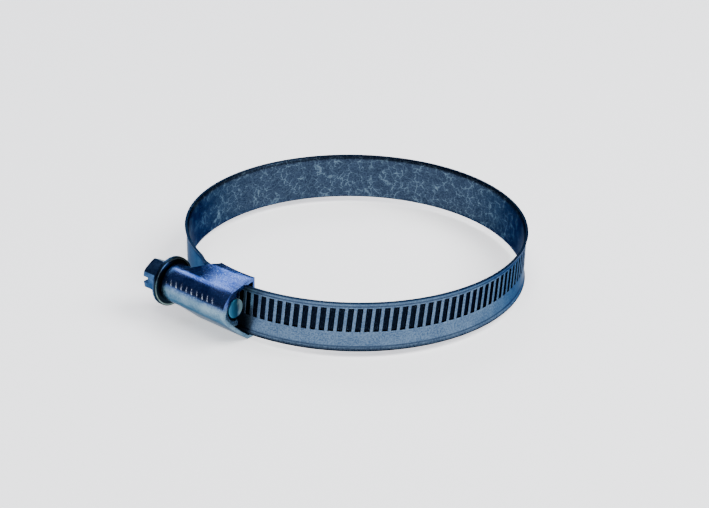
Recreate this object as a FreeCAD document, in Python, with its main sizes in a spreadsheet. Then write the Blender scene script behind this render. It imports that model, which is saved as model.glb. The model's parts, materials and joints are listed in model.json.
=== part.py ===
"""Worm-drive hose clamp, millimetres, +Z up along the hose.

The origin is on the axis of the hose, halfway across the band.  The screw housing stands on the -Y side,
with the screw along X and its hexagon head towards -X.  The clamp is modelled fully open.  The spring-steel
strip is one piece on the real clamp; here it is cut into short rigid spans, each hinged to the one before,
so that the ring can draw in.
"""
import FreeCAD, Part
import math
import os
from FreeCAD import Placement, Rotation, Vector

os.makedirs("parts", exist_ok=True)
doc = FreeCAD.newDocument("HoseClamp")

# ---------------------------------------------------------------- driving sizes
SIZES = {
    "seat_diameter": 80.0,      # hose diameter that the fully open clamp takes
    "band_width": 12.0,
    "band_thickness": 0.65,
    "curl_rise": 0.35,          # the band's edges turn outwards by this much
    "curl_width": 1.0,
    "thread_pitch": 2.0,        # spacing of the band's grooves and lead of the worm
    "grooves_per_span": 6,
    "grooved_spans": 8,
    "groove_length": 5.9,
    "groove_width": 1.15,
    "groove_depth": 0.3,
    "groove_lean": 5.5,         # degrees, the helix angle of the worm
    "thread_offset": 1.6,       # grooves and screw sit this far above the band's middle
    "sheet_thickness": 0.85,    # pressed sheet of the housing
    "flap_thickness": 0.6,      # the housing's flaps, coined thinner inside the ring
    "flap_gap": 0.05,
    "layer_gap": 0.5,           # running room between the band's fixed and free layers
    "crest_gap": 0.25,          # worm crest to the free layer
    "side_gap": 0.15,           # band edges to the housing
    "outer_gap": 0.4,           # curled edges of the free layer to the housing
    "barrel_radius": 4.5,
    "barrel_head_end": 15.3,    # all lengths along the screw are from the middle of the ring
    "barrel_tip_end": 4.0,
    "leg_head_end": 11.0,
    "roof_head_end": 6.6,
    "roof_ramp_end": 11.9,
    "roof_rise": 1.2,           # the roof stands this far above the band's upper edge
    "roof_inset": 0.3,          # the roof's corner stands this far out from the flap's inner face
    "roof_corner": 0.9,
    "wrap_depth": 4.0,          # the section starts this far inside the flap, before the hose clears it
    "leg_drop": 1.5,            # the leg reaches this far below the band's lower edge
    "leg_reach": 3.2,           # how far the leg's rounded foot stands out from the flap's inner face
    "leg_corner": 1.2,
    "lip_width": 0.85,
    "lip_inner_side": 0.2,      # the tip's lip stops this far past the screw's axis, on the band's side
    "tip_lip_radius": 2.9,
    "seam_above_screw": 1.0,    # the two flaps meet in a seam this far above the screw's axis
    "seam_width": 0.3,
    "crest_radius": 3.1,
    "root_radius": 2.5,
    "ridge_crest_share": 0.26,  # widths of the thread's ridge, as shares of its pitch
    "ridge_root_share": 0.64,
    "ridge_bite": 0.3,          # the ridge starts this far inside the root
    "neck_radius": 2.45,
    "neck_fit": 0.1,            # running room of the screw's neck in the barrel
    "pilot_radius": 2.25,
    "pilot_end": 3.75,
    "worm_head_end": 12.6,
    "worm_tip_end": 1.6,
    "core_tip_end": 2.0,
    "flange_radius": 5.9,
    "flange_thickness": 0.9,
    "flange_gap": 0.6,          # neck showing between the flange and the barrel
    "hex_flats": 7.0,
    "hex_height": 5.3,
    "hex_chamfer": 0.45,
    "hex_chamfer_angle": 30.0,  # degrees, to the end face
    "slot_width": 1.2,
    "slot_depth": 1.4,
    "first_hinge": 14.5,        # the strip is rigid with the housing up to here, at least
    "fixed_end_setback": 3.0,   # the fixed end stops this far from the middle, on the tip's side
    "step_start": 0.4,          # the fixed end steps in over the length from here past the leg
    "step_end": 1.2,            # to here before the first hinge
    "free_end_past_middle": 8.8,  # the free end waits this far past the middle, under the worm
    "overrun": 1.0,             # cutting shapes run on past a face by this much
}
sheet = doc.addObject("Spreadsheet::Sheet", "Sizes")
for row, (alias, value) in enumerate(SIZES.items(), start=1):
    sheet.set(f"A{row}", alias)
    sheet.set(f"B{row}", str(value))
    sheet.setAlias(f"B{row}", alias)
doc.recompute()


def size(alias):
    """A driving size, read from the sheet."""
    return float(sheet.get(alias))


# ---------------------------------------------------------------- worked-out places
seat_radius = size("seat_diameter") / 2
thickness = size("band_thickness")
half_width = size("band_width") / 2
fixed_radius = seat_radius + size("flap_gap") + size("flap_thickness")
free_radius = fixed_radius + thickness + size("layer_gap")
free_outside = free_radius + thickness
screw_radius = free_outside + size("crest_gap") + size("crest_radius")
screw_height = size("thread_offset")
span_length = size("grooves_per_span") * size("thread_pitch")


def polar(radius, angle):
    """A point in the plane of the ring, with the angle in radians."""
    return Vector(radius * math.cos(angle), radius * math.sin(angle), 0)


def free_end_angle():
    """How far round from the -Y axis the free end lies, towards the screw's head."""
    return math.asin(size("free_end_past_middle") / free_radius)


def layer_growth(start):
    """Radius gained by each radian of the strip, so that its free end lands on the upper layer."""
    turned = 2 * math.pi - start
    return (free_radius - seat_radius) / (turned - math.sin(turned))


def strip_spans():
    """The strip as (inner radius, angle) of each span, and the angle at which the first one starts.

    Angles count clockwise from the -Y axis, seen from above, so the strip leaves the housing on the head's
    side and comes back to it on the tip's side.
    """
    fixed_end = math.asin(size("first_hinge") / seat_radius)
    start = fixed_end
    spans = []
    for _ in range(4):
        growth = layer_growth(start)
        spans = []
        turned = 0.0
        total = 2 * math.pi + free_end_angle() - fixed_end
        while True:
            radius = seat_radius + growth * (turned + span_length / seat_radius / 2)
            angle = span_length / (radius + thickness / 2)
            if turned + angle > total:
                break
            spans.append((radius, angle))
            turned += angle
        start = 2 * math.pi + free_end_angle() - turned
    return spans, start


spans, strip_start = strip_spans()


def clockwise(angle):
    """An angle counted clockwise from the -Y axis, as an ordinary one."""
    return -math.pi / 2 - angle


# ---------------------------------------------------------------- helpers for bodies
def new_body(name):
    body = doc.addObject("PartDesign::Body", name)
    body.Label = name
    return body


def plane_of(body, role):
    return next(item for item in body.Origin.OriginFeatures if item.Role == role)


def new_sketch(body, name, role):
    sketch = body.newObject("Sketcher::SketchObject", name)
    sketch.AttachmentSupport = [(plane_of(body, role), "")]
    sketch.MapMode = "FlatFace"
    return sketch


def outline(sketch, points):
    """A closed outline of straight lines through the points, in the sketch's own plane."""
    corners = [Vector(x, y, 0) for x, y in points]
    for here, there in zip(corners, corners[1:] + corners[:1]):
        sketch.addGeometry(Part.LineSegment(here, there), False)


# ---------------------------------------------------------------- the strip's spans
def band_section(sketch, radius):
    """The strip's section: flat, with both edges curled outwards."""
    curl = size("curl_width")
    rise = size("curl_rise")
    inner = [(radius + rise, -half_width), (radius, curl - half_width)]
    inner += [(radius, half_width - curl), (radius + rise, half_width)]
    outer = [(x + thickness, z) for x, z in reversed(inner)]
    outline(sketch, inner + outer)


def make_span(number, radius, angle, grooved):
    """One rigid length of the strip, turned about its own centre of curvature."""
    name = f"band_span_{number:02d}"
    body = new_body(name)
    sketch = new_sketch(body, f"{name}_section", "XZ_Plane")
    band_section(sketch, radius)
    turn = body.newObject("PartDesign::Revolution", f"{name}_turn")
    turn.Profile = sketch
    turn.ReferenceAxis = (plane_of(body, "Z_Axis"), [""])
    turn.setExpression(
        "Angle",
        f"Sizes.grooves_per_span * Sizes.thread_pitch / ({radius - seat_radius:.6f}"
        " + Sizes.seat_diameter / 2 + Sizes.band_thickness / 2) * 180 / pi",
    )
    body.Tip = turn
    if grooved:
        cut_grooves(body, name, radius, angle)
    return body


def cut_grooves(body, name, radius, angle):
    """The pressed grooves that the worm runs in, one to each pitch."""
    step = angle / size("grooves_per_span")
    box = body.newObject("PartDesign::SubtractiveBox", f"{name}_groove")
    box.setExpression("Length", "Sizes.groove_depth + Sizes.overrun")
    box.setExpression("Width", "Sizes.groove_width")
    box.setExpression("Height", "Sizes.groove_length")
    lean = Rotation(Vector(1, 0, 0), -size("groove_lean"))
    middle = Rotation(Vector(0, 0, 1), math.degrees(step / 2))
    corner = Vector(0, -size("groove_width") / 2, -size("groove_length") / 2)
    floor = Vector(radius + thickness - size("groove_depth"), 0, size("thread_offset"))
    place = Placement(Vector(), middle) * Placement(floor, lean) * Placement(corner, Rotation())
    box.AttachmentSupport = [(plane_of(body, "XY_Plane"), "")]
    box.MapMode = "FlatFace"
    box.AttachmentOffset = place
    pattern = body.newObject("PartDesign::PolarPattern", f"{name}_grooves")
    pattern.Originals = [box]
    pattern.Axis = (plane_of(body, "Z_Axis"), [""])
    pattern.Mode = "Spacing"
    pattern.Offset = math.degrees(step)
    pattern.setExpression("Occurrences", "Sizes.grooves_per_span")
    body.Tip = pattern


def place_spans():
    """Lays the spans end to end and returns the bodies and the hinge points between them."""
    hinge = polar(seat_radius, clockwise(strip_start))
    bearing = clockwise(strip_start)
    bodies = []
    hinges = []
    for number, (radius, angle) in enumerate(spans, start=1):
        grooved = number > len(spans) - size("grooved_spans")
        body = make_span(number, radius, angle, grooved)
        centre = hinge - polar(radius, bearing)
        hinges.append((hinge, bearing))
        bearing -= angle
        body.Placement = Placement(centre, Rotation(Vector(0, 0, 1), math.degrees(bearing)))
        hinge = centre + polar(radius, bearing)
        bodies.append(body)
    return bodies, hinges


# ---------------------------------------------------------------- the strip's fixed end
def make_fixed_end():
    """The strip's fixed end: over the housing's flaps, then stepped in to the seat."""
    flap_end = math.asin(size("leg_head_end") / seat_radius)
    tip_end = -math.asin(size("fixed_end_setback") / seat_radius)
    step_start = flap_end + size("step_start") / seat_radius
    step_end = strip_start - size("step_end") / seat_radius
    body = new_body("band_fixed_end")
    sketch = new_sketch(body, "fixed_end_outline", "XY_Plane")

    def arc(radius, first, second):
        middle = polar(radius, clockwise((first + second) / 2))
        ends = polar(radius, clockwise(first)), polar(radius, clockwise(second))
        return Part.Arc(ends[0], middle, ends[1])

    def line(start, end):
        return Part.LineSegment(polar(*start), polar(*end))

    for extra in (0.0, thickness):
        sketch.addGeometry(arc(fixed_radius + extra, tip_end, step_start), False)
        start = (fixed_radius + extra, clockwise(step_start))
        sketch.addGeometry(line(start, (seat_radius + extra, clockwise(step_end))), False)
        sketch.addGeometry(arc(seat_radius + extra, step_end, strip_start), False)
    for radius, angle in ((fixed_radius, tip_end), (seat_radius, strip_start)):
        start = (radius, clockwise(angle))
        sketch.addGeometry(line(start, (radius + thickness, clockwise(angle))), False)
    pad = body.newObject("PartDesign::Pad", "fixed_end_pad")
    pad.Profile = sketch
    pad.SideType = "Symmetric"
    pad.setExpression("Length", "Sizes.band_width")
    body.Tip = pad
    return body


# ---------------------------------------------------------------- the housing
def belt(circles):
    """The wire of a belt drawn tight round circles given anticlockwise as (x, y, radius)."""
    touch = []
    for first, second in zip(circles, circles[1:] + circles[:1]):
        across = Vector(second[0] - first[0], second[1] - first[1], 0)
        heading = math.atan2(across.y, across.x)
        lean = math.acos((first[2] - second[2]) / across.Length)
        touch.append((heading - lean, first, second))
    edges = []
    for index, (angle, first, second) in enumerate(touch):
        before = touch[index - 1][0]
        while before > angle:
            before -= 2 * math.pi
        centre = Vector(first[0], first[1], 0)
        points = [centre + polar(first[2], a) for a in (before, (before + angle) / 2, angle)]
        edges.append(Part.Arc(*points))
        away = Vector(second[0], second[1], 0) + polar(second[2], angle)
        edges.append(Part.LineSegment(points[2], away))
    return edges


def housing_circles(inset):
    """The housing's section as circles: barrel, roof corner, back and foot, each drawn in by inset.

    x is the distance out from the hose's axis and y the height above the band's middle.
    """
    flap = seat_radius + size("flap_gap")
    roof = half_width + size("roof_rise")
    foot = -half_width - size("leg_drop")
    corner = size("roof_corner")
    small = size("leg_corner")
    back = flap - size("wrap_depth")
    return [
        (screw_radius, screw_height, size("barrel_radius") - inset),
        (flap + size("roof_inset") + corner, roof - corner, corner - inset),
        (back + corner, roof - corner, corner - inset),
        (back + small, foot + small, small - inset),
        (flap + size("leg_reach") - small, foot + small, small - inset),
    ]


def made(kind, name, **sizes):
    """A Part object whose sizes are bound to the sheet by the expressions given."""
    item = doc.addObject(kind, name)
    for prop, expression in sizes.items():
        item.setExpression(prop, expression)
    return item


def cut(name, base, tool):
    item = doc.addObject("Part::Cut", name)
    item.Base = base
    item.Tool = tool
    return item


def fuse(name, shapes):
    item = doc.addObject("Part::MultiFuse", name)
    item.Shapes = shapes
    return item


TO_X = Rotation(Vector(0, 1, 0), 90)
ACROSS_SCREW = Rotation(Vector(0, -1, 0), Vector(0, 0, 1), Vector(-1, 0, 0))


def on_screw(x):
    """A place on the screw's axis, with local Z along the screw towards its tip."""
    return Placement(Vector(x, -screw_radius, screw_height), TO_X)


def along_screw(name, head_end, tip_end, radius):
    """A round bar on the screw's axis between two places given as expressions, plus towards the tip."""
    bar = made("Part::Cylinder", name, Radius=radius, Height=f"({tip_end}) - ({head_end})")
    bar.Placement = on_screw(0)
    bar.setExpression(".Placement.Base.x", head_end)
    return bar


def about_hose(name, radius, height):
    """A round bar on the hose's axis, centred on the band's middle."""
    bar = made("Part::Cylinder", name, Radius=radius, Height=height)
    bar.setExpression(".Placement.Base.z", f"-({height}) / 2")
    return bar


def section_bar(name, inset, head_end, tip_end):
    """A length of the housing's section, drawn in by inset."""
    sketch = doc.addObject("Sketcher::SketchObject", f"{name}_section")
    sketch.Placement = Placement(Vector(), ACROSS_SCREW)
    for edge in belt(housing_circles(inset)):
        sketch.addGeometry(edge, False)
    bar = made("Part::Extrusion", name, LengthFwd=head_end, LengthRev=tip_end)
    bar.Base = sketch
    bar.DirMode = "Normal"
    bar.Solid = True
    return bar


def plan_bar(name, points, low, high):
    """A straight-sided bar upright along Z over an outline given as (x, distance out) points."""
    sketch = doc.addObject("Sketcher::SketchObject", f"{name}_plan")
    sketch.Placement = Placement(Vector(0, 0, low), Rotation())
    outline(sketch, [(x, -out) for x, out in points])
    bar = doc.addObject("Part::Extrusion", name)
    bar.Base = sketch
    bar.DirMode = "Normal"
    bar.LengthFwd = high - low
    bar.Solid = True
    return bar


def make_housing():
    """One pressed sheet: a barrel round the screw, a roof and a leg that wrap the band, and two flaps."""
    wall = size("sheet_thickness")
    tall = 4 * half_width
    over = size("overrun")
    far = screw_radius + 2 * size("barrel_radius")
    ramp = size("roof_ramp_end")
    roof = size("roof_head_end")
    leg = size("leg_head_end")
    barrel = along_screw("barrel", "-Sizes.barrel_head_end", "Sizes.barrel_tip_end", "Sizes.barrel_radius")
    wrap = section_bar("wrap", 0.0, "Sizes.roof_ramp_end", "Sizes.barrel_tip_end")
    below = [(-ramp - over, far), (-leg, far), (-leg, seat_radius / 2), (-ramp - over, seat_radius / 2)]
    wrap = cut("wrap_leg_end", wrap, plan_bar("leg_end", below, -tall, screw_height))
    slope = [(-ramp - over, screw_radius), (-ramp, screw_radius), (-roof, seat_radius)]
    slope += [(-roof, seat_radius / 2), (-ramp - over, seat_radius / 2)]
    wrap = cut("wrap_roof_ramp", wrap, plan_bar("roof_ramp", slope, screw_height, tall))
    outside = fuse("housing_outside", [barrel, wrap])
    flap_inside = "Sizes.seat_diameter / 2 + Sizes.flap_gap"
    flap_outside = flap_inside + " + Sizes.flap_thickness"
    height = "4 * Sizes.band_width"
    outside = cut("housing_round_hose", outside, about_hose("hose_room", flap_inside, height))
    past_tip = "Sizes.barrel_tip_end + Sizes.overrun"
    hollow = section_bar("hollow", wall, "Sizes.roof_ramp_end - Sizes.sheet_thickness", past_tip)
    hollow = cut("hollow_behind_flaps", hollow, about_hose("flap_face", flap_outside, height))
    layers = "Sizes.flap_gap + Sizes.flap_thickness + 2 * Sizes.band_thickness + Sizes.layer_gap"
    tunnel_out = f"Sizes.seat_diameter / 2 + {layers} + Sizes.curl_rise + Sizes.outer_gap"
    tunnel_height = "Sizes.band_width + 2 * Sizes.side_gap"
    tunnel = about_hose("band_room", tunnel_out, tunnel_height)
    tunnel = cut("tunnel", tunnel, about_hose("tunnel_floor", flap_outside, height))
    bore_tip = "Sizes.barrel_tip_end - Sizes.lip_width"
    bore_head = "Sizes.lip_width - Sizes.barrel_head_end"
    bore = along_screw("worm_room", bore_head, bore_tip, "Sizes.barrel_radius - Sizes.sheet_thickness")
    neck_hole = along_screw(
        "neck_hole",
        "-Sizes.barrel_head_end - Sizes.overrun",
        bore_head + " + Sizes.overrun",
        "Sizes.neck_radius + Sizes.neck_fit",
    )
    tip = size("barrel_tip_end") + over
    seam_height = screw_height + size("seam_above_screw")
    seam = [(-ramp, fixed_radius), (tip, fixed_radius), (tip, seat_radius / 2), (-ramp, seat_radius / 2)]
    seam = plan_bar("flap_seam", seam, seam_height, seam_height + size("seam_width"))
    housing = outside
    rooms = {"inside": hollow, "tunnel": tunnel, "bore": bore, "neck": neck_hole, "seam": seam}
    for name, tool in rooms.items():
        housing = cut(f"housing_less_{name}", housing, tool)
    lip_outside = "Sizes.barrel_radius - Sizes.sheet_thickness / 2"
    lip_ring = along_screw("lip_ring", bore_tip, "Sizes.barrel_tip_end", lip_outside)
    lip_hole = along_screw("lip_hole", bore_tip + " - Sizes.overrun", past_tip, "Sizes.tip_lip_radius")
    lip = cut("lip", lip_ring, lip_hole)
    inner = screw_radius - size("lip_inner_side")
    side = [(0, inner), (tip, inner), (tip, seat_radius / 2), (0, seat_radius / 2)]
    lip = cut("lip_outer_side", lip, plan_bar("lip_inner_side", side, -tall, tall))
    whole = fuse("screw_housing", [housing, lip])
    whole.Label = "screw_housing"
    return whole


# ---------------------------------------------------------------- the screw
def make_screw():
    """Worm, neck, flange and slotted hexagon head, all one turned and rolled piece."""
    flange_tip = "-Sizes.barrel_head_end - Sizes.flange_gap"
    flange_head = flange_tip + " - Sizes.flange_thickness"
    core = along_screw("screw_core", flange_head, "Sizes.core_tip_end", "Sizes.neck_radius")
    pilot = along_screw("screw_pilot", "Sizes.worm_tip_end", "Sizes.pilot_end", "Sizes.pilot_radius")
    flange = along_screw("screw_flange", flange_head, flange_tip, "Sizes.flange_radius")
    head_end = -size("barrel_head_end") - size("flange_gap") - size("flange_thickness") - size("hex_height")
    hexagon = made(
        "Part::Prism",
        "head_hexagon",
        Circumradius="Sizes.hex_flats / sqrt(3)",
        Height="Sizes.hex_height + Sizes.flange_thickness / 2",
    )
    hexagon.Polygon = 6
    hexagon.Placement = on_screw(head_end)
    crown_end = "Sizes.hex_flats / sqrt(3) - Sizes.hex_chamfer"
    crown_length = "Sizes.hex_height + Sizes.flange_thickness"
    crown = made(
        "Part::Cone",
        "head_crown",
        Radius1=crown_end,
        Radius2=f"{crown_end} + ({crown_length}) / tan(Sizes.hex_chamfer_angle)",
        Height=crown_length,
    )
    crown.Placement = on_screw(head_end)
    head = doc.addObject("Part::Common", "head")
    head.Base = hexagon
    head.Tool = crown
    slot = made(
        "Part::Box",
        "driver_slot",
        Length="Sizes.slot_depth + Sizes.overrun",
        Width="2 * Sizes.flange_radius",
        Height="Sizes.slot_width",
    )
    slot_low = screw_height - size("slot_width") / 2
    corner = Vector(head_end - size("overrun"), -screw_radius - size("flange_radius"), slot_low)
    slot.Placement = Placement(corner, Rotation())
    head = cut("slotted_head", head, slot)

    helix = made(
        "Part::Helix",
        "worm_path",
        Pitch="Sizes.thread_pitch",
        Height="Sizes.worm_head_end + Sizes.worm_tip_end",
        Radius="Sizes.root_radius",
    )
    ridge = doc.addObject("Sketcher::SketchObject", "worm_ridge")
    ridge.Placement = Placement(Vector(), Rotation(Vector(1, 0, 0), 90))
    root = size("root_radius") - size("ridge_bite")
    crest = size("crest_radius")
    root_half = size("ridge_root_share") * size("thread_pitch") / 2
    crest_half = size("ridge_crest_share") * size("thread_pitch") / 2
    outline(ridge, [(root, -root_half), (crest, -crest_half), (crest, crest_half), (root, root_half)])
    doc.recompute()
    thread = doc.addObject("Part::Sweep", "worm_thread")
    thread.Sections = [ridge]
    thread.Spine = (helix, [f"Edge{n}" for n in range(1, len(helix.Shape.Edges) + 1)])
    thread.Solid = True
    thread.Frenet = True
    thread.Placement = on_screw(-size("worm_head_end"))
    turned = fuse("turned_screw", [core, pilot, flange, head])
    whole = fuse("worm_screw", [turned, thread])
    whole.Label = "worm_screw"
    return whole


# ---------------------------------------------------------------- the clamp
span_bodies, hinge_points = place_spans()
pieces = [make_housing(), make_fixed_end(), make_screw()] + span_bodies
doc.recompute()

for item in doc.Objects:
    if "Invalid" in item.State or "Error" in item.State:
        raise RuntimeError(f"{item.Name} did not build: {item.State}")
for piece in pieces:
    if piece.Shape.isNull() or not piece.Shape.isValid() or len(piece.Shape.Solids) != 1:
        raise RuntimeError(f"{piece.Label} is not one valid solid")
    piece.Shape.exportStep(f"parts/{piece.Label}.step")
    print(piece.Label, len(piece.Shape.Solids), round(piece.Shape.Volume, 2))
for number, (point, bearing) in enumerate(hinge_points, start=1):
    place = [round(value, 4) for value in (point.x, point.y, math.degrees(bearing))]
    print(f"band_bend_{number:02d}", *place, "radius", round(spans[number - 1][0], 4))
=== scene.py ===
"""Worm-drive hose clamp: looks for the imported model, in metres, +Z along the hose."""
import json
import math
import bpy
from mathutils import Matrix, Vector


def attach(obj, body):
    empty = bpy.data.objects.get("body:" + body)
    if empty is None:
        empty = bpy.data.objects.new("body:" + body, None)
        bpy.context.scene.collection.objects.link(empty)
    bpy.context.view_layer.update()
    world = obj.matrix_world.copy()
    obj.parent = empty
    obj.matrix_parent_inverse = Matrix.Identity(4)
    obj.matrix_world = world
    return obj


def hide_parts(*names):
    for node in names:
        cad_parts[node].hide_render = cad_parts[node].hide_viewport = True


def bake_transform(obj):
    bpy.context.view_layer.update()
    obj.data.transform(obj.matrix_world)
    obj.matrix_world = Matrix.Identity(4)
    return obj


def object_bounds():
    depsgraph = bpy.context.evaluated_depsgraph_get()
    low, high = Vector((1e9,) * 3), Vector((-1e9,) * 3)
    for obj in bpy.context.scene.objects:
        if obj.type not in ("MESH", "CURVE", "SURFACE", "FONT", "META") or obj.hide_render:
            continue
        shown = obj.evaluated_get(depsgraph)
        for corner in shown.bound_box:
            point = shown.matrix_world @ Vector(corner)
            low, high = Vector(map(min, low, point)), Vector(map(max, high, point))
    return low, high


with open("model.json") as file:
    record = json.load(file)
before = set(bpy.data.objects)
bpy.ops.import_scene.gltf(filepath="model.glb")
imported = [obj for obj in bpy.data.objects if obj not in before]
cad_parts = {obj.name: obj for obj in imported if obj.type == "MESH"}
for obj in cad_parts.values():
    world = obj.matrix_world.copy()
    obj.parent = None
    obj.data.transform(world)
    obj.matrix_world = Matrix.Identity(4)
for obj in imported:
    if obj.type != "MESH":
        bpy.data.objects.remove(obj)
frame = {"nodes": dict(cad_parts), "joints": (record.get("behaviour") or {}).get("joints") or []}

cad_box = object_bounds()
MM = 0.001

# ------------------------------------------------------------------ camera, floor and light
# A plain white table in a pale studio with soft boxes round it, and a long lens looking down at the clamp
# from the screw's side.  The table glows a little, as one lit from all sides does.
VIEW_AZIMUTH = math.radians(38.8)
VIEW_ELEVATION = math.radians(26.06)
VIEW_DISTANCE = 363.1 * MM
VIEW_ROLL = math.radians(1.25)
FILM_WIDTH = 36.0               # in mm, as is the lens
LENS = 75.2
VIEW_SHIFT = (0.0011, -0.0166)
NEAREST_SEEN = 0.01
TABLE_SIZE = 4.0
TABLE_CLEARANCE = 0.05 * MM
TABLE_WHITE = (0.9, 0.9, 0.9, 1.0)
TABLE_GLOW = 0.8

# name, azimuth and elevation in degrees, distance, width, length, power, colour
SOFT_BOXES = [
    ("back_box", -128, 44, 1.2, 0.75, 0.5, 6.5, (0.9, 0.9, 1.0)),
    ("right_box", 112, 48, 1.3, 0.8, 0.8, 26.0, (1.0, 1.0, 1.0)),
    ("front_box", 30, 68, 1.3, 0.7, 0.7, 14.0, (1.0, 1.0, 1.0)),
]
# height over the horizon, and the sky's colour there
SKY_STOPS = [
    (0.0, (1.0, 1.0, 1.0)),
    (0.015, (0.7, 0.74, 0.82)),
    (0.06, (0.04, 0.05, 0.09)),
    (1.0, (0.09, 0.12, 0.22)),
]


def toward(azimuth, elevation):
    """The direction from the clamp to something seen at that azimuth and elevation."""
    level = math.cos(elevation)
    return Vector((level * math.sin(azimuth), -level * math.cos(azimuth), math.sin(elevation)))


camera_data = bpy.data.cameras.new("camera")
camera_data.sensor_width = FILM_WIDTH
camera_data.lens = LENS
camera_data.shift_x, camera_data.shift_y = VIEW_SHIFT
camera_data.clip_start = NEAREST_SEEN
camera = bpy.data.objects.new("camera", camera_data)
bpy.context.scene.collection.objects.link(camera)
away = toward(VIEW_AZIMUTH, VIEW_ELEVATION)
aim = away.to_track_quat("Z", "Y").to_matrix().to_4x4()
roll = Matrix.Rotation(VIEW_ROLL, 4, "Z")
camera.matrix_world = Matrix.Translation(away * VIEW_DISTANCE) @ aim @ roll
bpy.context.scene.camera = camera


def soft_box(name, azimuth, elevation, distance, across, along, power, colour):
    """An area light aimed at the clamp, its size in metres."""
    data = bpy.data.lights.new(name, "AREA")
    data.shape = "RECTANGLE"
    data.size = across
    data.size_y = along
    data.energy = power
    data.color = colour
    lamp = bpy.data.objects.new(name, data)
    bpy.context.scene.collection.objects.link(lamp)
    way = toward(math.radians(azimuth), math.radians(elevation))
    turn = way.to_track_quat("Z", "Y").to_matrix().to_4x4()
    lamp.matrix_world = Matrix.Translation(way * distance) @ turn


for box in SOFT_BOXES:
    soft_box(*box)


class Socket:
    """One output of a material's nodes, which Python's operators can work on."""

    def __init__(self, tree, output):
        self.tree = tree
        self.output = output

    def node(self, kind, settings=None, out=0, **inputs):
        """A new node: its settings first, then its inputs, by name, or as i0, i1 and so on."""
        made = self.tree.nodes.new(kind)
        for key, value in (settings or {}).items():
            if key == "stops":
                ramp = made.color_ramp
                while len(ramp.elements) < len(value):
                    ramp.elements.new(0.5)
                for element, (place, colour) in zip(ramp.elements, value):
                    element.position = place
                    element.color = (*colour, 1)
            else:
                setattr(made, key, value)
        for key, value in inputs.items():
            by_number = key[0] == "i" and key[1:].isdigit()
            socket = made.inputs[int(key[1:])] if by_number else made.inputs[key]
            if isinstance(value, Socket):
                self.tree.links.new(value.output, socket)
            else:
                socket.default_value = value
        return Socket(self.tree, made.outputs[out])

    def math(self, operation, other=0.0, swap=False):
        first, second = (other, self) if swap else (self, other)
        return self.node("ShaderNodeMath", {"operation": operation}, i0=first, i1=second)

    def __add__(self, other):
        return self.math("ADD", other)

    def __sub__(self, other):
        return self.math("SUBTRACT", other)

    def __mul__(self, other):
        return self.math("MULTIPLY", other)

    def __truediv__(self, other):
        return self.math("DIVIDE", other)

    def __pow__(self, other):
        return self.math("POWER", other)

    def __radd__(self, other):
        return self.math("ADD", other, True)

    def __rsub__(self, other):
        return self.math("SUBTRACT", other, True)

    def __rmul__(self, other):
        return self.math("MULTIPLY", other, True)

    def clamp(self):
        return self.node("ShaderNodeClamp", i0=self)

    def step(self, low, high):
        """0 below low, 1 above high, and smooth between."""
        kind = {"interpolation_type": "SMOOTHSTEP"}
        return self.node("ShaderNodeMapRange", kind, i0=self, i1=low, i2=high, i3=0.0, i4=1.0)

    def part(self, number):
        """One of a vector's three parts."""
        return self.node("ShaderNodeSeparateXYZ", out=number, i0=self)

    def mix(self, low, high):
        """A colour between two, by this value."""
        made = self.tree.nodes.new("ShaderNodeMix")
        made.data_type = "RGBA"
        fac, first, second = made.inputs[0], made.inputs[6], made.inputs[7]
        for socket, value in ((fac, self), (first, low), (second, high)):
            if isinstance(value, Socket):
                self.tree.links.new(value.output, socket)
            else:
                socket.default_value = (*value, 1)
        return Socket(self.tree, made.outputs[2])


world = bpy.data.worlds.new("studio")
world.use_nodes = True
bpy.context.scene.world = world
sky = Socket(world.node_tree, None)
sky_height = sky.node("ShaderNodeTexCoord").part(2)
sky_tone = sky.node("ShaderNodeValToRGB", {"stops": SKY_STOPS}, Fac=sky_height)
sky_shader = world.node_tree.nodes["Background"]
world.node_tree.links.new(sky_tone.output, sky_shader.inputs["Color"])


def pick_none():
    """Leaves nothing selected, so that the next tool touches only its own piece."""
    bpy.ops.object.select_all(action="DESELECT")


pick_none()
table_height = cad_box[0][2] - TABLE_CLEARANCE
bpy.ops.mesh.primitive_plane_add(size=TABLE_SIZE, location=(0, 0, table_height))
table = bpy.context.object
table.name = "table"
table_paint = bpy.data.materials.new("table_white")
table_paint.use_nodes = True
table_shader = table_paint.node_tree.nodes["Principled BSDF"]
table_shader.inputs["Base Color"].default_value = TABLE_WHITE
table_shader.inputs["Roughness"].default_value = 0.9
table_shader.inputs["Specular IOR Level"].default_value = 0.2
table_shader.inputs["Emission Color"].default_value = (1.0, 1.0, 1.0, 1)
table_shader.inputs["Emission Strength"].default_value = TABLE_GLOW
table.data.materials.append(table_paint)


# ------------------------------------------------------------------ band: the worked strip
# One strip of zinc-coated spring steel, slit and rolled so that its edges turn outwards.  The grooves that
# the worm runs in are pressed into its outer face, not through it.  The strip is made flat, one length at a
# time, and then wound on to the ring of hinge points.  One end is fixed in the housing.
STRIP_THICKNESS = 0.65 * MM
STRIP_HALF_WIDTH = 6.0 * MM
PITCH = 2.0 * MM
GROOVES_PER_SPAN = 6
COLUMNS_PER_PITCH = 12
CURL_WIDTH = 1.0 * MM
CURL_RISE = 0.35 * MM
GROOVE_LOW = -1.35 * MM         # heights of the grooves' ends
GROOVE_HIGH = 4.55 * MM
GROOVE_MIDDLE = (GROOVE_LOW + GROOVE_HIGH) / 2
GROOVE_DEPTH = 0.34 * MM
GROOVE_SHARE = (1 / 6, 5 / 6)   # a groove's edges, as shares of its pitch
GROOVE_EDGE = 0.03 * MM         # the round at its mouth
GROOVE_WALL = 0.07 * MM         # how far in its walls slope
GROOVE_CROWN = (0.3 * MM, 0.1 * MM)     # its floor rises in the middle: how far in, and by how much
GROOVE_LEAN = math.tan(math.radians(5.5))
CURL_STEPS = 5
CURL_POWER = 1.6
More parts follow.
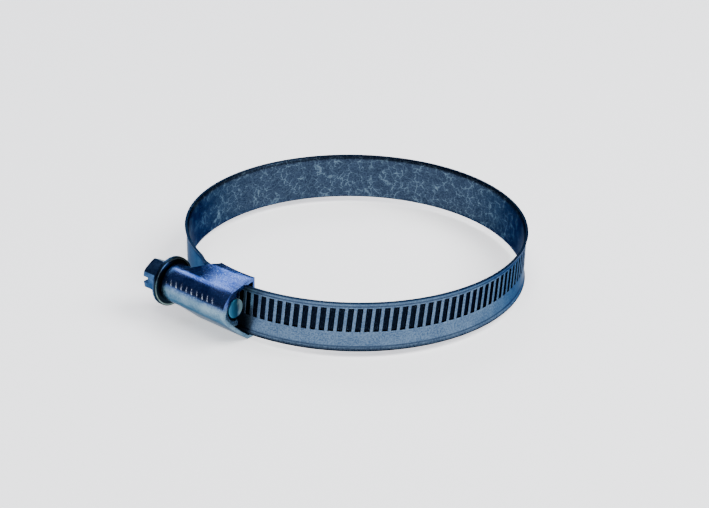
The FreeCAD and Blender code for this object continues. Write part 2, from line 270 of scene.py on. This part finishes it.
PLAIN_ROWS = (-3.2 * MM, GROOVE_LOW, -0.4 * MM, 0.8 * MM, 2.4 * MM, 3.8 * MM, GROOVE_HIGH)
SKIN = 0.1 * MM                 # a face within this depth is part of the outer face
FREE_END_ROUNDING = 2.6 * MM
GROOVED_SPANS = 8
FIXED_PITCHES = 11              # length of the piece that holds the fixed end
SEAT_RADIUS = 40.0 * MM
FLAP_LAYER = 0.65 * MM          # the fixed end lies this far out, on the housing's flaps
STEP_TOP = -4.2 * MM            # it leaves the flaps here, along the strip from hinge 1,
STEP_FOOT = 0.0                 # and is down on the seat here
HINGE_SLACK = 0.7 * MM          # bend_start is taken this far past the middle of a span, and bend_end this far before the next middle
FIXED_BEND = -1.0 * MM          # the fixed end's bend_start is taken here along the strip
BAND_SMOOTH = math.radians(28)
UV_SCALE = 100                  # a unit of the strip's pattern is 10 mm
PRESSED_DEPTH = 0.045 * MM      # deeper than this is inside a groove

span_joints = [j for j in frame["joints"] if j["name"].startswith("band_bend")]
span_length = GROOVES_PER_SPAN * PITCH
hinge_points = [Vector((j["pos_m"][0], j["pos_m"][1], 0)) for j in span_joints]


class Arc:
    """One span's inner face in the plane of the ring: its centre, radius, first angle and turn."""

    def __init__(self, start, outward, radius):
        self.radius = radius
        self.centre = start - outward * radius
        self.first = math.atan2(outward.y, outward.x)
        self.turn = span_length / (radius + STRIP_THICKNESS / 2)

    def outward(self, share):
        """The direction out of the ring, that share of the way along."""
        angle = self.first - self.turn * share
        return Vector((math.cos(angle), math.sin(angle), 0))

    def place(self, share, rise):
        """A place on the span, at a rise over its inner face."""
        return self.centre + self.outward(share) * (self.radius + rise)


def ring_arcs():
    """The spans' arcs, each tangent to the one before and ending on the next hinge point."""
    arcs = []
    outward = hinge_points[0].normalized()
    for start, end in zip(hinge_points, hinge_points[1:]):
        chord = end - start
        radius = chord.length_squared / (-2 * chord.dot(outward))
        arcs.append(Arc(start, outward, radius))
        outward = arcs[-1].outward(1)
    growth = arcs[-1].radius - arcs[-2].radius
    arcs.append(Arc(hinge_points[-1], outward, arcs[-1].radius + growth))
    return arcs


arcs = ring_arcs()
first_bearing = math.atan2(hinge_points[0].y, hinge_points[0].x)


def on_strip(along, rise):
    """The place on the ring for a distance along the strip and a rise over the strip's inner face."""
    up = min(max((STEP_FOOT - along) / (STEP_FOOT - STEP_TOP), 0), 1)
    rise += FLAP_LAYER * up * up * (3 - 2 * up)
    if along < 0:
        angle = first_bearing - along / (SEAT_RADIUS + STRIP_THICKNESS / 2)
        return Vector((math.cos(angle), math.sin(angle), 0)) * (SEAT_RADIUS + rise)
    number = min(int(along / span_length), len(arcs) - 1)
    return arcs[number].place(along / span_length - number, rise)


def strip_rows():
    """Heights of the strip's rows of vertices, closer together where the edges curl."""
    curl = [CURL_WIDTH * n / CURL_STEPS for n in range(CURL_STEPS + 1)]
    low = [c - STRIP_HALF_WIDTH for c in curl]
    high = [STRIP_HALF_WIDTH - c for c in reversed(curl)]
    return low + list(PLAIN_ROWS) + high


def flat_strip(name, pitches, grooved, lean=(0, 0)):
    """A flat strip, a whole number of pitches long, from x = 0, with its outer face up.

    It leans as the grooves do, by one share of their lean at its start and by another at its end.
    """
    rows = strip_rows()
    columns = pitches * COLUMNS_PER_PITCH
    pick_none()
    bpy.ops.mesh.primitive_grid_add(x_subdivisions=columns, y_subdivisions=len(rows) - 1, size=2)
    strip = bpy.context.object
    strip.name = name
    for vertex in strip.data.vertices:
        row = round((vertex.co.y + 1) / 2 * (len(rows) - 1))
        vertex.co.x = (vertex.co.x + 1) / 2 * pitches * PITCH
        vertex.co.y = rows[row]
        vertex.co.z = 0
    bpy.ops.object.mode_set(mode="EDIT")
    bpy.ops.mesh.select_all(action="SELECT")
    downwards = {"value": (0, 0, -STRIP_THICKNESS)}
    bpy.ops.mesh.extrude_region_move(TRANSFORM_OT_translate=downwards)
    bpy.ops.mesh.select_all(action="SELECT")
    bpy.ops.mesh.normals_make_consistent(inside=False)
    bpy.ops.mesh.select_mode(type="FACE")
    bpy.ops.object.mode_set(mode="OBJECT")
    if grooved:
        press_grooves(strip)
    for vertex in strip.data.vertices:
        share = lean[0] + (lean[1] - lean[0]) * vertex.co.x / (pitches * PITCH)
        vertex.co.x -= (vertex.co.y - GROOVE_MIDDLE) * GROOVE_LEAN * share
        near_edge = 1 - (STRIP_HALF_WIDTH - abs(vertex.co.y)) / CURL_WIDTH
        if near_edge > 0:
            vertex.co.z += CURL_RISE * near_edge ** CURL_POWER
    return strip


def press_grooves(strip):
    """Presses a sloping-sided groove into the outer face at each pitch."""
    first, last = GROOVE_SHARE
    crown_inset, crown_rise = GROOVE_CROWN
    for face in strip.data.polygons:
        share = face.center.x / PITCH % 1
        inside = first < share < last and GROOVE_LOW < face.center.y < GROOVE_HIGH
        face.select = inside and face.center.z > -SKIN
    bpy.ops.object.mode_set(mode="EDIT")
    bpy.ops.mesh.inset(thickness=GROOVE_EDGE, depth=-GROOVE_EDGE)
    bpy.ops.mesh.inset(thickness=GROOVE_WALL, depth=GROOVE_EDGE - GROOVE_DEPTH)
    bpy.ops.mesh.inset(thickness=crown_inset, depth=crown_rise)
    bpy.ops.object.mode_set(mode="OBJECT")


def strip_uv(strip, along):
    """Lays one pattern round the whole band, and marks the inner face and the grooves."""
    layer = strip.data.uv_layers.active or strip.data.uv_layers.new(name="Strip")
    layer.name = "Strip"
    for loop in strip.data.loops:
        point = strip.data.vertices[loop.vertex_index].co
        across = point.y + STRIP_HALF_WIDTH
        layer.data[loop.index].uv = ((point.x + along) * UV_SCALE, across * UV_SCALE)
    inside = strip.data.attributes.new("inside", "FLOAT", "FACE")
    pressed = strip.data.attributes.new("pressed", "FLOAT", "FACE")
    for face in strip.data.polygons:
        inside.data[face.index].value = 1.0 if face.normal.z < -0.5 else 0.0
        in_row = GROOVE_LOW < face.center.y < GROOVE_HIGH
        sunk = -STRIP_THICKNESS < face.center.z < -PRESSED_DEPTH
        pressed.data[face.index].value = 1.0 if in_row and sunk else 0.0


def wind(strip, name, along, rounded=None):
    """A copy of a flat strip wound on to the ring, starting that far along it."""
    pick_none()
    strip.select_set(True)
    bpy.context.view_layer.objects.active = strip
    bpy.ops.object.duplicate()
    piece = bpy.context.object
    piece.name = name
    if rounded is not None:
        round_end(piece, *rounded)
    strip_uv(piece, along)
    for vertex in piece.data.vertices:
        place = on_strip(along + vertex.co.x, STRIP_THICKNESS + vertex.co.z)
        vertex.co = (place.x, place.y, vertex.co.y)
    bpy.ops.object.shade_smooth_by_angle(angle=BAND_SMOOTH)
    piece.data.materials.append(band_steel)
    return piece


def round_end(piece, end, way):
    """Draws the corners of a strip's end in to a round; way is 1 for its far end."""
    for vertex in piece.data.vertices:
        past = FREE_END_ROUNDING - (end - vertex.co.x) * way
        if past > 0:
            past = min(past, FREE_END_ROUNDING)
            corner = FREE_END_ROUNDING - math.sqrt(max(FREE_END_ROUNDING ** 2 - past ** 2, 0))
            vertex.co.y *= 1 - corner / STRIP_HALF_WIDTH


def metal(name, edge_tint):
    """A new metal material with its tint at a low view, and a socket to start its pattern from."""
    paint = bpy.data.materials.new(name)
    paint.use_nodes = True
    shader = paint.node_tree.nodes["Principled BSDF"]
    shader.inputs["Metallic"].default_value = 1.0
    shader.inputs["Specular Tint"].default_value = (*edge_tint, 1)
    start = Socket(paint.node_tree, None)
    return paint, shader, start


def finish_metal(shader, start, colour, roughness, height, strength, distance):
    """Joins a pattern's colour, roughness and fine relief to the metal."""
    bump = start.node("ShaderNodeBump", Strength=strength, Distance=distance, Height=height)
    for name, value in (("Base Color", colour), ("Roughness", roughness), ("Normal", bump)):
        start.tree.links.new(value.output, shader.inputs[name])


OUTER_TONES = ((0.034, 0.062, 0.115), (0.1, 0.155, 0.235))
INNER_TONES = ((0.007, 0.013, 0.03), (0.036, 0.058, 0.096))
# painted shade: the pressed grooves' faces are coloured near black
GROOVE_SHADE_TONES = ((0.001, 0.002, 0.005), (0.007, 0.012, 0.024))
VEIN_TONE = (0.1, 0.155, 0.21)
# painted shade for the dark lines along the strip's edges and creases
OUTER_EDGE_SHADE_TONE = (0.006, 0.012, 0.028)
INNER_EDGE_SHADE_TONE = (0.004, 0.009, 0.02)
BAND_LOW_TINT = (0.24, 0.28, 0.35)
CREASES = (0.1, 1.1)            # the rolled edges begin here, across the strip, in units of 10 mm
LINE_WIDTH = (0.012, 0.03)      # a line of painted shade fades out between these distances from its middle
FAR_EDGE = (1.172, 1.188)       # painted shade darkens the other edge of the strip between these
RELIEF = 0.04 * MM              # depth of the metals' fine relief


def line_across(across, middle):
    """1 on a thin line along the strip at a place across it, and 0 off it."""
    return 1 - (across - middle).math("ABSOLUTE").step(*LINE_WIDTH)


def make_band_steel():
    """Zinc-coated strip: finely mottled and lighter outside, dark with pale spangle veins inside, with
    painted shade in the grooves and in dark lines along its edges and creases.
    """
    paint, shader, start = metal("band_steel", BAND_LOW_TINT)
    where = start.node("ShaderNodeUVMap", {"uv_map": "Strip"})
    across = where.part(1)
    inside = start.node("ShaderNodeAttribute", {"attribute_name": "inside"}, out=2)
    pressed = start.node("ShaderNodeAttribute", {"attribute_name": "pressed"}, out=2)
    grain = start.node("ShaderNodeTexNoise", Vector=where, Scale=24.0, Detail=5.0, Roughness=0.75)
    cloud = start.node("ShaderNodeTexNoise", Vector=where, Scale=3.0, Detail=3.0, Roughness=0.6)
    mottle = grain.step(0.4, 0.6) * 0.7 + cloud.step(0.3, 0.7) * 0.3

    # the spangle's veins are the edges of bent cells, broken up by the cloud
    warp = start.node("ShaderNodeTexNoise", out=1, Vector=where, Scale=6.0, Detail=3.0)
    add = {"operation": "MULTIPLY_ADD"}
    bent = start.node("ShaderNodeVectorMath", add, i0=warp, i1=(0.3, 0.3, 0.0), i2=where)
    to_edge = {"feature": "DISTANCE_TO_EDGE"}
    cells = start.node("ShaderNodeTexVoronoi", to_edge, Vector=bent, Scale=5.0)
    vein = (1 - cells.step(0.0, 0.06)) * (0.25 + 0.75 * cloud.step(0.42, 0.6))

    rim = (1 - across.step(*LINE_WIDTH)) + across.step(*FAR_EDGE)
    near_crease, far_crease = CREASES
    crease = line_across(across, near_crease) + line_across(across, far_crease)
    outer = mottle.mix(*OUTER_TONES)
    # painted shade: dark lines along the outer face's edges and its creases
    outer = (rim * 0.8 + crease * 0.65).clamp().mix(outer, OUTER_EDGE_SHADE_TONE)
    # painted shade: the pressed grooves are near black
    outer = pressed.mix(outer, grain.step(0.45, 0.75).mix(*GROOVE_SHADE_TONES))
    inner = (vein * 0.85).mix(mottle.mix(*INNER_TONES), VEIN_TONE)
    # painted shade: dark lines along the inner face's edges
    inner = (rim * 0.8).clamp().mix(inner, INNER_EDGE_SHADE_TONE)
    colour = inside.mix(outer, inner)
    roughness = 0.28 + 0.16 * grain
    height = grain * 0.6 + inside * vein * 0.4
    finish_metal(shader, start, colour, roughness, height, 0.35, RELIEF)
    return paint


band_steel = make_band_steel()
half_span = GROOVES_PER_SPAN // 2
plain_strip = flat_strip("plain_strip", GROOVES_PER_SPAN, False)
grooved_strip = flat_strip("grooved_strip", GROOVES_PER_SPAN, True, (1, 1))
bodies = [f"band_span_{number:02d}" for number in range(1, len(arcs) + 1)]
first_grooved = len(arcs) - GROOVED_SPANS
for number in range(1, len(arcs)):
    middle = (number - 0.5) * span_length
    if number == first_grooved:
        # this length is plain up to the first grooved span and grooved past it
        half_plain = flat_strip("half_plain", half_span, False, (0, 1))
        half_grooved = flat_strip("half_grooved", half_span, True, (1, 1))
        lengths = [(half_plain, middle), (half_grooved, middle + span_length / 2)]
    else:
        lengths = [(grooved_strip if number > first_grooved else plain_strip, middle)]
    for part, (strip, along) in enumerate(lengths):
        piece = wind(strip, f"band_{number:02d}" + "b" * part, along)
        bend_start = on_strip(middle + HINGE_SLACK, 0)
        bend_end = on_strip(middle + span_length - HINGE_SLACK, 0)
        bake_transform(piece)
        if part == 0:
            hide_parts(bodies[number])
        if number == first_grooved:
            bpy.data.objects.remove(strip)

tail = flat_strip("tail_strip", half_span, True, (1, 1))
piece = wind(tail, "band_free_end", (len(arcs) - 0.5) * span_length, (half_span * PITCH, 1))
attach(piece, bodies[-1])

root = flat_strip("root_strip", FIXED_PITCHES, False)
fixed_length = FIXED_PITCHES * PITCH - span_length / 2
piece = wind(root, "band_fixed_end_strip", -fixed_length)
bend_start = on_strip(FIXED_BEND, 0)
bend_end = on_strip(span_length / 2 - HINGE_SLACK, 0)
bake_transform(piece)
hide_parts("band_fixed_end", bodies[0])
for spare in (plain_strip, grooved_strip, tail, root):
    bpy.data.objects.remove(spare)


# ------------------------------------------------------------------ housing: the pressed barrel and wrap
# One pressed steel sheet: a barrel rolled round the screw, a roof and a leg wrapped round the band, and two
# flaps that meet in a seam inside the ring.  The press softens its edges, and it is zinc-plated with a blue
# passivation.
EDGE_SOFTENING = 0.13 * MM
SOFTENING_STEPS = 3
MERGE_DISTANCE = 0.0005 * MM
FLAT_WITHIN = math.radians(0.5)
CREASE = math.radians(38)
SHEET_SMOOTH = math.radians(35)
BLUE_SHADED_TOP_TONES = ((0.012, 0.032, 0.15), (0.08, 0.13, 0.33))     # above the screw's axis: blue, with painted shade
UNDERSIDE_REFLECTION_TONES = ((0.06, 0.12, 0.18), (0.15, 0.235, 0.3))       # below it: painted reflection of the table, lighter grey
SPARKLE_TONE = (0.32, 0.44, 0.62)
# painted highlight: the ticks are near white, as glints
TICK_GLINT_TONE = (0.85, 0.92, 0.95)
HOUSING_LOW_TINT = (0.3, 0.38, 0.5)
TOP_SHADE_FROM = (0.2, 2.2)          # the painted grey reflection below turns to the painted blue shade above between these heights over the axis, in mm
TICK_HEIGHT = 2.3 * MM          # height of the row of press ticks over the screw's axis
TICK_HALF_LENGTH = 0.65 * MM
TICKS_FROM = (-14.4, -13.6)     # the row fades in and out between these places, in mm
TICKS_TO = (0.6, 1.4)
TICK_SIDE = (-2.0, -1.5)        # and is only on the barrel's outer side
ROLLING_SCALE = (60.0, 900.0, 900.0)
PATTERN_SCALE = 100.0           # the patterns are sized in units of 10 mm
screw_joint = next(j for j in frame["joints"] if j["name"] == "screw_turn")
screw_place = Vector(screw_joint["pos_m"])


def softened(node, name, softening):
    """A merged copy of a CAD node with its creases rounded off."""
    pick_none()
    source = frame["nodes"][node]
    source.select_set(True)
    bpy.context.view_layer.objects.active = source
    bpy.ops.object.duplicate()
    piece = bpy.context.object
    piece.name = name
    piece.data.materials.clear()
    bpy.ops.object.mode_set(mode="EDIT")
    bpy.ops.mesh.select_all(action="SELECT")
    bpy.ops.mesh.remove_doubles(threshold=MERGE_DISTANCE)
    bpy.ops.mesh.dissolve_limited(angle_limit=FLAT_WITHIN)
    bpy.ops.object.mode_set(mode="OBJECT")
    bevel = piece.modifiers.new("Edges", "BEVEL")
    bevel.width = softening
    bevel.segments = SOFTENING_STEPS
    bevel.limit_method = "ANGLE"
    bevel.angle_limit = CREASE
    bevel.harden_normals = False
    bevel.use_clamp_overlap = True
    bpy.ops.object.modifier_apply(modifier="Edges")
    bpy.ops.object.shade_smooth_by_angle(angle=SHEET_SMOOTH)
    return piece


def make_housing_steel():
    """Blue-passivated zinc, cloudy, with painted shade in dark blue above the axis and a painted reflection
    in grey below, fine sparkle, rolling lines and a row of ticks painted white as glints.
    """
    paint, shader, start = metal("housing_steel", HOUSING_LOW_TINT)
    place = start.node("ShaderNodeTexCoord", out=3)
    along = place.part(0)
    side = place.part(1) - screw_place.y
    height = place.part(2) - screw_place.z
    scale = {"operation": "SCALE"}
    scaled = start.node("ShaderNodeVectorMath", scale, i0=place, Scale=PATTERN_SCALE)
    stretch = start.node("ShaderNodeMapping", Vector=place, Scale=ROLLING_SCALE)
    cloud = start.node("ShaderNodeTexNoise", Vector=scaled, Scale=2.2, Detail=4.0, Roughness=0.6)
    grain = start.node("ShaderNodeTexNoise", Vector=scaled, Scale=30.0, Detail=3.0, Roughness=0.7)
    rolling = start.node("ShaderNodeTexNoise", Vector=stretch, Scale=1.0, Detail=2.0)
    speck = start.node("ShaderNodeTexVoronoi", Vector=scaled, Scale=38.0)
    sparkle = 1 - speck.step(0.08, 0.36)

    # the row of ticks: short strokes that the press leaves, at a slant, painted near white as glints
    beside = (height - TICK_HEIGHT) / TICK_HALF_LENGTH
    ends = (along / MM).step(*TICKS_FROM) * (1 - (along / MM).step(*TICKS_TO))
    front = 1 - (side / MM).step(*TICK_SIDE)
    row = (1 - (beside * beside).step(0.3, 1.0)) * ends * front
    slant = (along / MM) * 0.62 + (height / MM) * 0.28 + cloud * 0.3
    stroke = slant.math("PINGPONG", 0.5)
    tick = row * (1 - stroke.step(0.06, 0.15)) * grain.step(0.38, 0.55)

    tone = (cloud * 0.5 + grain * 0.35 + rolling * 0.15).step(0.38, 0.62)
    # painted light: dark blue shade above the screw's axis, a lighter grey reflection of the table below it
    top_shade = (height / MM).step(*TOP_SHADE_FROM)
    colour = top_shade.mix(tone.mix(*UNDERSIDE_REFLECTION_TONES), tone.mix(*BLUE_SHADED_TOP_TONES))
    colour = (sparkle * grain.step(0.42, 0.56) * 0.75).mix(colour, SPARKLE_TONE)
    # painted highlight: the ticks are painted near white, as glints
    colour = tick.mix(colour, TICK_GLINT_TONE)
    roughness = 0.14 + 0.1 * cloud + 0.1 * grain
    relief = grain * 0.35 + rolling * 0.25 + tick * 1.5 + sparkle * 0.2
    finish_metal(shader, start, colour, roughness, relief, 0.4, RELIEF)
    return paint


housing = softened("screw_housing", "pressed_housing", EDGE_SOFTENING)
housing.data.materials.append(make_housing_steel())
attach(housing, "housing")
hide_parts("screw_housing")


# ------------------------------------------------------------------ screw: worm, flange and hexagon
# One piece of steel, headed and thread-rolled: a worm inside the barrel, a neck, a round flange, and a
# hexagon with a driver's slot.  It has a darker zinc plating with a green cast.
HEAD_SOFTENING = 0.2 * MM
SCREW_TONES = ((0.01, 0.024, 0.07), (0.06, 0.11, 0.21))
# painted highlight on the tip: teal, turning pale on one side
TIP_HIGHLIGHT_TONES = ((0.03, 0.13, 0.22), (0.75, 1.0, 0.9))
# painted shadow on the flange's face and neck, by the barrel
FLANGE_SHADOW_TONE = (0.01, 0.018, 0.028)
RIM_TONE = (0.3, 0.4, 0.37)
SCREW_LOW_TINT = (0.3, 0.4, 0.45)
TIP_FROM = (1.0, 2.0)           # the tip's teal colour, with its painted highlight, begins between these places, in mm
HIGHLIGHT_CRESCENT = (1.1, 2.1)           # and turns pale with a painted highlight across it between these
FLANGE_RIM = 5.55               # the flange's bright rim, in mm from its axis
RIM_WIDTH = (0.06, 0.22)
FLANGE_FROM = (-16.5, -16.2)
FLANGE_TO = (-15.4, -15.2)
TURNED_RINGS = 9000.0           # radians of the turning marks to a metre


def make_screw_steel():
    """Dark plating: speckled on the hexagon, fine turned rings, a bright edge, painted shadow on the
    flange's face and a pale painted highlight on the tip.
    """
    paint, shader, start = metal("screw_steel", SCREW_LOW_TINT)
    place = start.node("ShaderNodeTexCoord", out=3)
    point = {"vector_type": "POINT"}
    centred = start.node("ShaderNodeMapping", point, Vector=place, Location=tuple(-screw_place))
    along = centred.part(0)
    side = centred.part(1)
    height = centred.part(2)
    out = (side * side + height * height) ** 0.5
    scale = {"operation": "SCALE"}
    scaled = start.node("ShaderNodeVectorMath", scale, i0=centred, Scale=PATTERN_SCALE)
    cloud = start.node("ShaderNodeTexNoise", Vector=scaled, Scale=3.0, Detail=4.0, Roughness=0.6)
    grain = start.node("ShaderNodeTexNoise", Vector=scaled, Scale=34.0, Detail=3.0, Roughness=0.7)
    rings = (out * TURNED_RINGS + cloud * 4.0).math("SINE") * 0.5 + 0.5
    colour = (cloud * 0.55 + grain * 0.45).step(0.36, 0.64).mix(*SCREW_TONES)

    # painted highlight: a pale crescent on one side of the tip
    highlight_crescent = (side / MM + cloud * 1.6).step(*HIGHLIGHT_CRESCENT)
    colour = (along / MM).step(*TIP_FROM).mix(colour, highlight_crescent.mix(*TIP_HIGHLIGHT_TONES))
    rim = 1 - (out / MM - FLANGE_RIM).math("ABSOLUTE").step(*RIM_WIDTH)
    on_flange = (along / MM).step(*FLANGE_FROM) * (1 - (along / MM).step(*FLANGE_TO))
    # painted shadow: the flange's face and neck, in the gap by the barrel, are near black
    colour = on_flange.mix(colour, FLANGE_SHADOW_TONE)
    colour = (rim * on_flange * grain.step(0.3, 0.5)).mix(colour, RIM_TONE)
    roughness = 0.24 + 0.16 * grain
    relief = grain * 0.5 + rings * 0.12
    finish_metal(shader, start, colour, roughness, relief, 0.4, RELIEF)
    return paint


screw = softened("worm_screw", "hexagon_screw", HEAD_SOFTENING)
screw.data.materials.append(make_screw_steel())
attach(screw, "screw")
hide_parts("worm_screw")
